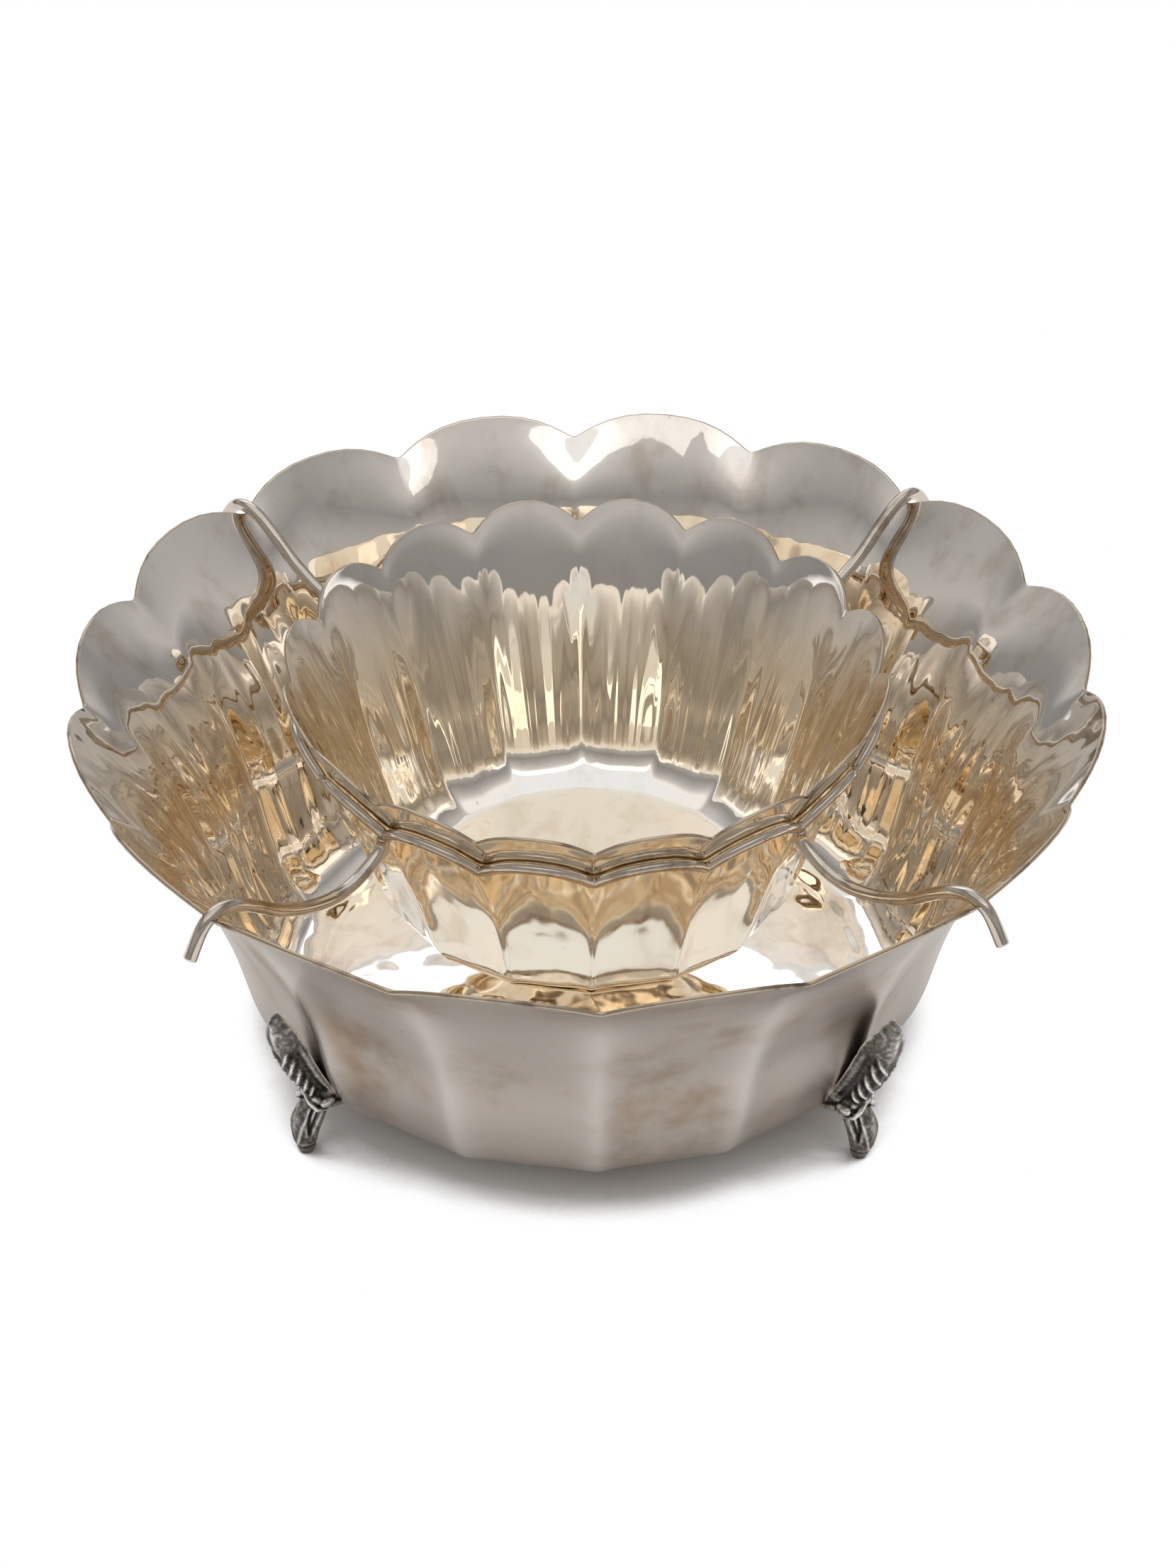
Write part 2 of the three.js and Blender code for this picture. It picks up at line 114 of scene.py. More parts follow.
def lobed_bowl(name, stations, wall, underside):
    """A closed bowl: its section is spun round the axis, then each point moves with its lobe.

    Its wall layer is 1 on the wall between heel and neck, for streaked lines and a painted golden
    reflection, and the ribs layer is 1 along its ribs, for a painted highlight.
    """
    last = len(stations) - 1
    rows, rim_rows, steps = 46, 6, LOBES * 14
    rounding = 0.35 * wall / (stations[-1][1] - stations[-2][1]) / (len(stations) - 1)
    nowhere = Vector((0, 0))
    per_mm = 0.001 / (Vector(stations[-1][:2]) - Vector(stations[-2][:2])).length / (len(stations) - 1)
    shares = [(1 - rounding - 3 * per_mm) * row / rows for row in range(rows + 1)]
    shares += [1 - rounding - reach * per_mm for reach in (1.6, 0.8, 0.3, 0)]
    section = [(nowhere, nowhere, nowhere, 0, 0)]
    for share in shares:
        section.append((*on_wall(stations, share, 0), 0, share))
    for row in range(1, rim_rows):
        angle = math.pi * row / rim_rows
        share = 1 - rounding * (1 - math.sin(angle))
        section.append((*on_wall(stations, share, wall * (1 - math.cos(angle)) / 2), 1, 1))
    for share in reversed(shares):
        section.append((*on_wall(stations, share, wall), 2, share))
    section.append((Vector((0, wall)), nowhere, nowhere, 2, 0))

    bm = bmesh.new()
    crown_out = bm.verts.layers.float.new("crown_out")
    crown_up = bm.verts.layers.float.new("crown_up")
    panel_out = bm.verts.layers.float.new("panel_out")
    panel_up = bm.verts.layers.float.new("panel_up")
    side = bm.verts.layers.float.new("side")
    streaks_and_painted_gold = bm.verts.layers.float.new("streaks_and_painted_gold")
    ribs = bm.verts.layers.float.new("ribs")
    line = []
    for crease, crown, panel, which, share in section:
        vert = bm.verts.new((crease.x, 0, crease.y + underside))
        vert[crown_out], vert[crown_up], vert[side] = crown.x, crown.y, which
        vert[panel_out], vert[panel_up] = panel.x, panel.y
        neck = share * last - (last - 1)
        vert[streaks_and_painted_gold] = smooth_step(share * last, 1.6, 2.6) * (1 - smooth_step(neck, -0.75, -0.1))
        vert[ribs] = smooth_step(share * last, 1.0, 2.0) * (1 - smooth_step(neck, -1.2, -0.1))
        line.append(vert)
    edges = [bm.edges.new(pair) for pair in zip(line, line[1:])]
    bmesh.ops.spin(
        bm, geom=line + edges, axis=(0, 0, 1), cent=(0, 0, 0), dvec=(0, 0, 0),
        angle=math.tau, steps=steps, use_merge=True, use_duplicate=False,
    )
    bmesh.ops.remove_doubles(bm, verts=bm.verts, dist=1e-6)
    for vert in bm.verts:
        turns = math.atan2(vert.co.y, vert.co.x) / math.tau % 1
        turns -= 0.6 * math.sin(math.tau * turns * LOBES) / math.tau / LOBES
        swell, sink = petal_and_panel(turns)
        radius = math.hypot(vert.co.x, vert.co.y) + vert[crown_out] * swell + vert[panel_out] * sink
        height = vert.co.z + vert[crown_up] * swell + vert[panel_up] * sink
        vert[ribs] *= (1 - sink) ** 1.5
        vert.co = (radius * math.cos(turns * math.tau), radius * math.sin(turns * math.tau), height)
    bmesh.ops.recalc_face_normals(bm, faces=bm.faces)
    for face in bm.faces:
        face.smooth = True
        reached = sum(vert[side] for vert in face.verts) / len(face.verts)
        face.material_index = 0 if reached > 1.5 else 1 if reached < 0.5 else 2
    mesh = bpy.data.meshes.new(name)
    bm.to_mesh(mesh)
    bm.free()
    piece = bpy.data.objects.new(name, mesh)
    bpy.context.scene.collection.objects.link(piece)
    return piece


def new_material(name):
    material = bpy.data.materials.new(name)
    material.use_nodes = True
    tree = material.node_tree
    shader = tree.nodes["Principled BSDF"]
    shader.inputs["Metallic"].default_value = 1
    return material, tree, shader


def joined(tree, kind, settings=None, **inputs):
    """A node with its settings made and its inputs set or linked."""
    node = tree.nodes.new(kind)
    for key, value in (settings or {}).items():
        setattr(node, key, value)
    for key, value in inputs.items():
        socket = node.inputs[int(key[1:])] if key[1:].isdigit() else node.inputs[key.replace("_", " ")]
        if isinstance(value, bpy.types.NodeSocket):
            tree.links.new(value, socket)
        else:
            socket.default_value = value
    return node


def maths(tree, operation, *values):
    inputs = {f"_{i}": value for i, value in enumerate(values)}
    return joined(tree, "ShaderNodeMath", {"operation": operation}, **inputs).outputs[0]


def vectors(tree, operation, *values):
    inputs = {f"_{i}": value for i, value in enumerate(values)}
    return joined(tree, "ShaderNodeVectorMath", {"operation": operation}, **inputs).outputs[0]


def blended(tree, share, first, second, blend="MIX"):
    settings = {"data_type": "RGBA", "blend_type": blend}
    return joined(tree, "ShaderNodeMix", settings, _0=share, _6=first, _7=second).outputs[2]


def eased(tree, value, low, high, most=1.0):
    """Rises smoothly from 0 where the value is low to most where it is high."""
    settings = {"interpolation_type": "SMOOTHSTEP"}
    node = joined(
        tree, "ShaderNodeMapRange", settings, Value=value, From_Min=low, From_Max=high, To_Max=most
    )
    return node.outputs[0]


def noise(tree, place, scale, detail, roughness=0.5):
    node = joined(
        tree, "ShaderNodeTexNoise", Vector=place, Scale=scale, Detail=detail, Roughness=roughness
    )
    return node.outputs["Fac"]


def worn_silver_group():
    """Silver that has been polished and used.

    It has hand-raised waves, streaked lines drawn up the walls, cloudy patches and brown spots, and a
    painted golden reflection on the walls and a painted highlight on the ribs.
    """
    group = bpy.data.node_groups.new("worn silver", "ShaderNodeTree")
    face = group.interface
    for label, kind, value in (
        ("Silver", "NodeSocketColor", (0.9, 0.87, 0.81, 1)),
        ("Tarnish", "NodeSocketColor", (0.5, 0.38, 0.26, 1)),
        ("Tarnish share", "NodeSocketFloat", 0.2),
        ("Cloud size", "NodeSocketFloat", 0.03),
        ("Polish", "NodeSocketFloat", 0.06),
        ("Haze", "NodeSocketFloat", 0.1),
        ("Wave height", "NodeSocketFloat", 0.0001),
        ("Wave size", "NodeSocketFloat", 0.02),
        ("Upright", "NodeSocketFloat", 1.0),
        ("Streak height", "NodeSocketFloat", 0.0),
        ("Streak size", "NodeSocketFloat", 0.0025),
        ("Rib shine", "NodeSocketFloat", 0.0),
        ("Gilding", "NodeSocketFloat", 0.0),
    ):
        socket = face.new_socket(label, in_out="INPUT", socket_type=kind)
        socket.default_value = value
    face.new_socket("Color", in_out="OUTPUT", socket_type="NodeSocketColor")
    face.new_socket("Roughness", in_out="OUTPUT", socket_type="NodeSocketFloat")
    face.new_socket("Normal", in_out="OUTPUT", socket_type="NodeSocketVector")
    given = group.nodes.new("NodeGroupInput").outputs
    result = group.nodes.new("NodeGroupOutput").inputs
    place = joined(group, "ShaderNodeTexCoord").outputs["Object"]
    squashed = joined(group, "ShaderNodeCombineXYZ", X=1.0, Y=1.0, Z=given["Upright"]).outputs[0]
    upright = vectors(group, "MULTIPLY", place, squashed)

    def per_size(size):
        return maths(group, "DIVIDE", 1.0, size)

    clouds = noise(group, upright, per_size(given["Cloud size"]), 5.0, 0.6)
    patches = eased(group, clouds, 0.48, 0.72, given["Tarnish share"])
    spots = eased(group, noise(group, place, 420.0, 2.0), 0.735, 0.79, 0.7)
    stained = maths(group, "MAXIMUM", patches, spots)
    color = blended(group, stained, given["Silver"], given["Tarnish"])
    # Painted highlight: the colour is lightened towards pale silver along the ribs.
    ribs = joined(group, "ShaderNodeAttribute", {"attribute_name": "ribs"}).outputs["Fac"]
    highlight = maths(group, "MULTIPLY", ribs, given["Rib shine"])
    color = blended(group, highlight, color, (0.93, 0.9, 0.86, 1))
    # Painted golden reflection: the walls between heel and neck are tinted gold, standing in for the light
    # bounced gold between them.
    walls = joined(group, "ShaderNodeAttribute", {"attribute_name": "streaks_and_painted_gold"}).outputs["Fac"]
    painted_gold = maths(group, "MULTIPLY", walls, given["Gilding"])
    color = blended(group, painted_gold, color, (1.0, 0.935, 0.81, 1), "MULTIPLY")
    group.links.new(color, result["Color"])

    haze = maths(group, "MULTIPLY_ADD", clouds, given["Haze"], given["Polish"])
    group.links.new(haze, result["Roughness"])

    waves = noise(group, upright, per_size(given["Wave size"]), 1.2, 0.4)
    raised = joined(group, "ShaderNodeBump", Strength=1.0, Distance=given["Wave height"], Height=waves)
    # The streaks follow the direction from the axis, and hardly change on the way up.
    outwards = vectors(group, "NORMALIZE", vectors(group, "MULTIPLY", place, (1.0, 1.0, 0.0)))
    round_about = vectors(group, "MULTIPLY", outwards, (0.08, 0.08, 0.08))
    drawn_up = vectors(group, "MULTIPLY_ADD", place, (0.0, 0.0, 0.022), round_about)
    lines = noise(group, drawn_up, per_size(given["Streak size"]), 1.3, 0.45)
    depth = maths(group, "MULTIPLY", walls, given["Streak height"])
    streaked = joined(
        group, "ShaderNodeBump", Strength=1.0, Distance=depth, Height=lines, Normal=raised.outputs["Normal"]
    )
    group.links.new(streaked.outputs["Normal"], result["Normal"])
    return group


worn_silver = worn_silver_group()


def silver(name, **values):
    material, tree, shader = new_material(name)
    worn = tree.nodes.new("ShaderNodeGroup")
    worn.node_tree = worn_silver
    for key, value in values.items():
        worn.inputs[key.replace("_", " ")].default_value = value
    tree.links.new(worn.outputs["Color"], shader.inputs["Base Color"])
    tree.links.new(worn.outputs["Roughness"], shader.inputs["Roughness"])
    tree.links.new(worn.outputs["Normal"], shader.inputs["Normal"])
    return material


ice_bowl = lobed_bowl("ice_bowl_chased", ICE_STATIONS, ICE_WALL, ICE_UNDERSIDE)
# Inside, the walls get a painted golden reflection.
ice_bowl.data.materials.append(
    silver(
        "ice bowl polished inside", Silver=(0.915, 0.865, 0.8, 1), Tarnish=(0.60, 0.48, 0.38, 1),
        Tarnish_share=0.5, Cloud_size=0.012, Polish=0.012, Haze=0.03, Wave_size=0.014,
        Wave_height=0.00026, Upright=0.14, Streak_height=0.0009, Streak_size=0.009, Gilding=0.65,
    )
)
# Outside, the tarnish clouds are real, and the darker base silver is painted shade for the shaded table it
# mirrors.
ice_bowl.data.materials.append(
    silver(
        "ice bowl satin outside with painted shade", Silver=(0.65, 0.585, 0.525, 1), Tarnish=(0.42, 0.29, 0.19, 1),
        # Its ribs get a painted highlight.
        Tarnish_share=0.9, Cloud_size=0.04, Polish=0.24, Haze=0.18, Wave_height=0.0002, Rib_shine=0.5,
    )
)
worn_rim = silver(
    "worn rim", Silver=(0.52, 0.42, 0.31, 1), Tarnish=(0.14, 0.11, 0.09, 1), Tarnish_share=0.9,
    Cloud_size=0.012, Polish=0.2, Haze=0.2,
)
ice_bowl.data.materials.append(worn_rim)
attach(ice_bowl, "ice_bowl_on_feet")
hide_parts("ice_bowl")


# Caviar bowl. The small bowl, raised in the same way from thinner sheet, with a flared lip of petals.
# It is polished all over and rests in the cradle by the flare under its lip.
CAVIAR_WALL = 0.001
CAVIAR_UNDERSIDE = 0.0365
CAVIAR_STATIONS = [
    (0.0340, 0.0000, 0.00000, 0.00000, 0.00000),
    (0.0455, 0.0012, 0.00032, 0.00000, 0.00000),
    (0.0535, 0.0065, 0.00120, 0.00000, 0.00000),
    (0.0580, 0.0145, 0.00160, 0.00000, 0.00000),
    (0.0630, 0.0300, 0.00144, 0.00027, 0.00000),
    (0.0724, 0.0584, 0.00000, 0.00270, 0.00549),
    (0.0773, 0.0690, 0.00000, 0.00270, 0.00590),
]
caviar_bowl = lobed_bowl("caviar_bowl_chased", CAVIAR_STATIONS, CAVIAR_WALL, CAVIAR_UNDERSIDE)
# Inside, the walls get a painted golden reflection.
caviar_bowl.data.materials.append(
    silver(
        "caviar bowl polished inside", Silver=(0.93, 0.88, 0.81, 1), Tarnish=(0.62, 0.48, 0.36, 1),
        Tarnish_share=0.25, Cloud_size=0.01, Polish=0.012, Haze=0.03, Wave_size=0.01,
        Wave_height=0.00014, Upright=0.14, Streak_height=0.0007, Streak_size=0.0075, Gilding=0.75,
    )
)
# Outside, the silver is brighter and more golden than inside, a painted reflection of the golden ice bowl
# around it.
caviar_bowl.data.materials.append(
    silver(
        "caviar bowl polished outside with painted gold", Silver=(0.99, 0.92, 0.80, 1), Tarnish=(0.72, 0.58, 0.42, 1),
        Tarnish_share=0.15, Polish=0.04, Haze=0.06, Wave_size=0.008, Wave_height=0.00028, Upright=0.3,
    )
)
caviar_bowl.data.materials.append(worn_rim)
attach(caviar_bowl, "caviar_bowl")
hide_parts("caviar_bowl")


# Cradle ring. One length of round silver wire, bent lobe by lobe round a former to the shape of the
# caviar bowl's neck, so that it rises and swells with the petals, and soldered shut.
RING_WIRE = 0.0028
RING_AIR = 0.0003
RING_STEPS = 640
NECK_SHARE = 5 / 6


def ring_middle(turns):
    (radius, height), (out, up), _ = on_wall(CAVIAR_STATIONS, NECK_SHARE, 0)
    above = on_wall(CAVIAR_STATIONS, NECK_SHARE + 0.01, 0)[0]
    flare = (above.x - radius) / (above.y - height)
    swell = petal_and_panel(turns, 0.035)[0]
    slope = (petal_and_panel(turns + 1e-4, 0.035)[0] - swell) / 1e-4 / (math.tau * radius)
    reach = (RING_WIRE / 2 + RING_AIR) * math.hypot(1, slope * (out - flare * up), flare)
    radius += out * swell + reach
    angle = turns * math.tau
    above_table = height + up * swell + CAVIAR_UNDERSIDE
    return Vector((radius * math.cos(angle), radius * math.sin(angle), above_table))


def wire(name, points, diameter, closed):
    """A round wire along a line of points."""
    curve = bpy.data.curves.new(name, "CURVE")
    curve.dimensions = "3D"
    curve.bevel_depth = diameter / 2
    curve.bevel_resolution = 6
    curve.use_fill_caps = not closed
    line = curve.splines.new("POLY")
    line.points.add(len(points) - 1)
    for spot, place in zip(line.points, points):
        spot.co = (*place, 1)
    line.use_cyclic_u = closed
    drawn = bpy.data.objects.new(name + "_line", curve)
    bpy.context.scene.collection.objects.link(drawn)
    bpy.context.view_layer.update()
    mesh = bpy.data.meshes.new_from_object(drawn.evaluated_get(bpy.context.evaluated_depsgraph_get()))
    mesh.name = name
    bpy.data.objects.remove(drawn)
    bm = bmesh.new()
    bm.from_mesh(mesh)
    bmesh.ops.remove_doubles(bm, verts=bm.verts, dist=1e-7)
    bmesh.ops.recalc_face_normals(bm, faces=bm.faces)
    for face in bm.faces:
        face.smooth = True
    cap_edges = [e for e in bm.edges if len(e.link_faces) == 2 and e.calc_face_angle() > 1.2]
    if cap_edges:
        bmesh.ops.bevel(
            bm, geom=cap_edges, offset=0.12 * diameter, offset_type="OFFSET", segments=3, profile=0.5,
            affect="EDGES", material=-1,
        )
    bm.to_mesh(mesh)
    bm.free()
    piece = bpy.data.objects.new(name, mesh)
    bpy.context.scene.collection.objects.link(piece)
    return piece


wire_silver = silver(
    "cradle wire", Silver=(0.62, 0.55, 0.47, 1), Tarnish=(0.26, 0.20, 0.15, 1), Tarnish_share=0.7,
    Cloud_size=0.01, Polish=0.06, Haze=0.1, Wave_size=0.008, Wave_height=0.00005,
)
ring_line = [ring_middle(i / RING_STEPS) for i in range(RING_STEPS)]
cradle_ring = wire("cradle_ring_wire", ring_line, RING_WIRE, True)
cradle_ring.data.materials.append(wire_silver)
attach(cradle_ring, "cradle")
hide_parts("cradle_ring")


# Cradle arms. Four lengths of thicker wire, each soldered under the ring, bent down over the ice and up
# to a hook that drops over the ice bowl's rim in a notch. The hook's end is cut square and filed smooth.
ARM_WIRE = 0.0035
ARM_STEPS = 90
NOTCH_HEIGHT = 0.0989
CORNERS = {"front_right": -45, "back_right": 45, "back_left": 135, "front_left": 225}
neck = ring_middle(0)
# Radius from the axis and height above the notches, from under the ring to the hook's end.
ARM_BENDS = [
    (neck.x + 0.0003, neck.z - NOTCH_HEIGHT - 0.0008),
    (neck.x + 0.0014, neck.z - NOTCH_HEIGHT - 0.0042),
    (0.0834, -0.0126),
    (0.0915, -0.0140),
    (0.1014, -0.0119),
    (0.1110, -0.0074),
    (0.1189, -0.0017),
    (0.1256, 0.0023),
    (0.1312, 0.0033),
    (0.1359, 0.0010),
    (0.1407, -0.0062),
]


def arm_point(share):
    radius, height = along_stations(ARM_BENDS, share)
    return Vector((radius, 0, NOTCH_HEIGHT + height))


for corner, degrees in CORNERS.items():
    turned = Matrix.Rotation(math.radians(degrees), 3, "Z")
    bends = [turned @ arm_point(i / ARM_STEPS) for i in range(ARM_STEPS + 1)]
    arm = wire("cradle_arm_wire_" + corner, bends, ARM_WIRE, False)
    arm.data.materials.append(wire_silver)
    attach(arm, "cradle")
    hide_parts("cradle_arm_" + corner)


# Feet. Four feet cast in silver, each a leaf with slanting strokes that curls off a crease of the wall, a
# rolled lip with an oval bead on each side under it, and a short leg with a tongue down to a blunt toe.
# They are soldered on, chased up, and oxidised, so that the hollows are black and the ridges bright.
FOOT_VOXEL = 0.00028
LEAF_WIDTH = 0.0108
LEAF_HEEL_THICKNESS = 0.0040
LEAF_THICKENING = 0.0063
LEAF_BLUNTNESS = 2.6
LEAF_TIP_LIFT = 0.005
LEAF_LIFT_START = 0.3
KNUCKLE_HEIGHT = 0.0195
TOE_RADIUS = 0.0985


def share_at_height(stations, height):
    low, high = 0.0, 1.0
    for _ in range(40):
        middle = (low + high) / 2
        low, high = (middle, high) if along_stations(stations, middle)[1] < height else (low, middle)
    return low


def off_ice_wall(share, out, across, slip):
    """A point this far off the ice bowl's wall and across from +X, a slip in turns off a crease."""
    crease, crown, panel = on_wall(ICE_STATIONS, share, -out)
    turns = across / math.tau / crease.x
    swell, sink = petal_and_panel(turns + slip)
    radius, height = crease + crown * swell + panel * sink
    height += ICE_UNDERSIDE
    return Vector((radius * math.cos(turns * math.tau), radius * math.sin(turns * math.tau), height))


LEAF_FOOT = share_at_height(ICE_STATIONS, 0.006)
LEAF_TOP = share_at_height(ICE_STATIONS, 0.045)


def leaf_relief(spread, lean):
    """Slanting strokes on the leaf, a hollow beside them and a fold up its top; lean is 0 on the crest."""
    side = abs(lean) / (math.pi / 2)
    field = smooth_step(spread, 0.32, 0.40) * (1 - smooth_step(spread, 0.74, 0.84))
    strokes = sum(math.exp(-(((spread - 0.36 - 0.082 * k - 0.2 * side) / 0.019) ** 2)) for k in range(5))
    strokes *= smooth_step(side, 0.02, 0.12) * (1 - smooth_step(side, 0.5, 0.68))
    hollow = 0.4 + 0.6 * smooth_step(side, 0.4, 0.6) * (1 - smooth_step(side, 0.8, 0.92))
    fold = math.exp(-((side / 0.14) ** 2)) * smooth_step(spread, 0.70, 0.78)
    return field * (0.0012 * strokes - 0.0013 * hollow) - 0.0006 * fold


def leaf_point(spread, lean, slip, lift=0.0):
    fullness = max(0, 1 - abs(2 * spread - 1) ** LEAF_BLUNTNESS) ** (1 / LEAF_BLUNTNESS)
    relief = leaf_relief(spread, lean) * smooth_step(fullness, 0.3, 0.8) + lift
    half_width = fullness * LEAF_WIDTH / 2 + relief
    thickness = fullness * (LEAF_HEEL_THICKNESS + LEAF_THICKENING * spread) + relief
    curl = LEAF_TIP_LIFT * (max(0, spread - LEAF_LIFT_START) / (1 - LEAF_LIFT_START)) ** 1.5
    rounded = lambda x: math.copysign(abs(x) ** (2 / LEAF_BLUNTNESS), x)
    out = curl + thickness * rounded(max(0, math.cos(lean))) - 0.0002
    across = half_width * rounded(math.sin(lean))
    return off_ice_wall(LEAF_FOOT + (LEAF_TOP - LEAF_FOOT) * spread, out, across, slip)


def cast_leaf(bm, slip):
    made = bmesh.ops.create_uvsphere(bm, u_segments=96, v_segments=90, radius=1)
    for vert in made["verts"]:
        lean = math.atan2(vert.co.y, vert.co.x)
        spread = (1 + max(-1, min(1, vert.co.z))) / 2
        if abs(lean) > math.pi / 2:
            back = math.copysign(math.pi / 2, lean)
            edge, other = leaf_point(spread, back, slip), leaf_point(spread, -back, slip)
            vert.co = edge.lerp(other, (abs(lean) / (math.pi / 2) - 1) / 2)
        else:
            vert.co = leaf_point(spread, lean, slip)


def cast_bead(bm, middle, radii):
    shape = Matrix.Translation(middle) @ Matrix.Diagonal((*radii, 1))
    bmesh.ops.create_icosphere(bm, subdivisions=3, radius=1, matrix=shape)


def cast_ridge(bm, path, thick, thin):
    """A rounded ridge along a path, from its thick end to its thin one."""
    for i in range(25):
        place = i / 24 * (len(path) - 1)
        span = min(int(place), len(path) - 2)
        cast_bead(bm, path[span].lerp(path[span + 1], place - span), [thick + (thin - thick) * i / 24] * 3)


def leg_relief(rise, lean):
    """A V-shaped hollow with a ridge in it on each side, and a raised tongue between them."""
    side = abs(lean)
    opening = smooth_step(rise, 0.36, 0.85)
    groove = math.exp(-(((side - 1.25) / (0.12 + 0.36 * opening)) ** 4)) * smooth_step(rise, 0.33, 0.46)
    spine = math.exp(-(((side - 1.25) / 0.13) ** 2)) * opening
    tongue = math.exp(-(((side - 0.8 * math.sqrt(max(0, min(1, (rise - 0.2) / 0.5)))) / 0.14) ** 2))
    tongue *= smooth_step(rise, 0.18, 0.26) * (1 - smooth_step(rise, 0.8, 0.92))
    toe_line = math.exp(-(((rise - 0.155) / 0.02) ** 2))
    return 0.0008 * spine - 0.0011 * groove + 0.0004 * tongue - 0.0003 * toe_line


LEG_SECTIONS = [(0.0046, 0.0042), (0.0074, 0.0060), (0.0100, 0.0074), (0.0074, 0.0066)]


def cast_leg(bm, knee):
    made = bmesh.ops.create_uvsphere(bm, u_segments=64, v_segments=64, radius=1)
    for vert in made["verts"]:
        lean = math.atan2(vert.co.y, vert.co.x)
        rise = (1 + max(-1, min(1, vert.co.z))) / 2
        depth, width = along_stations(LEG_SECTIONS, rise)
        blunt_toe = 0.5 + 0.5 * math.sqrt(max(0, 1 - (1 - min(1, rise / 0.1)) ** 2))
        round_knee = math.sqrt(max(0, 1 - max(0, (rise - 0.93) / 0.07) ** 2))
        closing = blunt_toe * round_knee if rise > 1e-6 else 0
        relief = leg_relief(rise, lean) if 0 < rise < 1 else 0
        middle = TOE_RADIUS + (knee.x - TOE_RADIUS) * rise + 0.0016 * math.sin(rise * math.pi)
        out = closing * (depth / 2 + relief) * math.cos(lean)
        across = closing * (width / 2 + relief) * math.sin(lean)
        vert.co = (middle + out, across, knee.z * rise)


MILLIMETRE = 0.001


def relax(bm):
    bmesh.ops.smooth_vert(
        bm, verts=bm.verts, factor=0.5, use_axis_x=True, use_axis_y=True, use_axis_z=True
    )


RELIEF_ROUNDS = 14
RELIEF_DEPTH = 0.00012
TOE_FLAT = 0.0004


def cast_foot(slip):
    """A whole foot. Its relief layer is above 0 on ridges and below 0 in hollows."""
    bm = bmesh.new()
    knee = off_ice_wall(share_at_height(ICE_STATIONS, KNUCKLE_HEIGHT - ICE_UNDERSIDE), 0.0035, 0, slip)
    cast_bead(bm, knee, (0.0036, 0.0048, 0.0031))
    for side in (-1, 1):
        cast_bead(bm, knee + Vector((0.0004, side * 0.0046, -0.0008)), (0.0024, 0.0016, 0.0017))
        lip = [(0.40, 0.0), (0.36, 0.35), (0.30, 0.75), (0.22, 1.1), (0.12, 1.4), (0.04, 1.5)]
        fold = [(max(0.03, spread - 0.075), lean) for spread, lean in lip[:-1]]
        for edge, lift, thick, thin in ((lip, 0.0003, 0.0015, 0.0008), (fold, 0.0001, 0.0008, 0.0005)):
            path = [leaf_point(spread, side * lean, slip, lift) for spread, lean in edge]
            cast_ridge(bm, path, thick, thin)
        curl = [(4.2, 0.8, 1.2), (4.4, 2.6, -0.6), (3.4, 3.9, -2.6), (0.8, 4.6, -3.0)]
        path = [knee + Vector((x, side * y, z)) * MILLIMETRE for x, y, z in curl]
        cast_ridge(bm, path, 0.0009, 0.0006)
    cast_leg(bm, knee)
    cast_leaf(bm, slip)
    mesh = bpy.data.meshes.new("foot_pattern")
    bm.to_mesh(mesh)
    bm.free()
    pattern = bpy.data.objects.new("foot_pattern", mesh)
    bpy.context.scene.collection.objects.link(pattern)
    remesh = pattern.modifiers.new("cast in one", "REMESH")
    remesh.mode = "VOXEL"
    remesh.voxel_size = FOOT_VOXEL
    remesh.use_smooth_shade = True
    bpy.context.view_layer.update()
    whole = bpy.data.meshes.new_from_object(pattern.evaluated_get(bpy.context.evaluated_depsgraph_get()))
    bpy.data.objects.remove(pattern)

    bm = bmesh.new()
    bm.from_mesh(whole)
    relax(bm)
    bm.normal_update()
    relief = bm.verts.layers.float.new("relief")
    sharp = [vert.co.copy() for vert in bm.verts]
    normals = [vert.normal.copy() for vert in bm.verts]
    for _ in range(RELIEF_ROUNDS):
        relax(bm)
    for vert, place, normal in zip(bm.verts, sharp, normals):
        vert[relief] = (place - vert.co).dot(normal) / RELIEF_DEPTH
        vert.co = place
    lowest = min(vert.co.z for vert in bm.verts)
    for vert in bm.verts:
        vert.co.z = max(vert.co.z - lowest, 0.0)
        if vert.co.z < TOE_FLAT:
            vert.co.z = 0.0
    bm.to_mesh(whole)
    bm.free()
    return whole


foot_silver, tree, shader = new_material("oxidised cast silver")
height_relief = joined(tree, "ShaderNodeAttribute", {"attribute_name": "relief"}).outputs["Fac"]
place = joined(tree, "ShaderNodeTexCoord").outputs["Object"]
grime = noise(tree, place, 900.0, 3.0)
rubbed = maths(tree, "ADD", maths(tree, "MULTIPLY_ADD", grime, 1.4, -0.7), height_relief)
rubbed = joined(tree, "ShaderNodeMapRange", Value=rubbed, From_Min=-1.1, From_Max=1.6).outputs[0]
silvering = joined(tree, "ShaderNodeValToRGB", _0=rubbed)
ramp = silvering.color_ramp
ramp.elements[0].position, ramp.elements[0].color = 0.2, (0.03, 0.027, 0.025, 1)
ramp.elements[1].position, ramp.elements[1].color = 0.82, (0.86, 0.84, 0.80, 1)
ramp.elements.new(0.46).color = (0.17, 0.152, 0.138, 1)
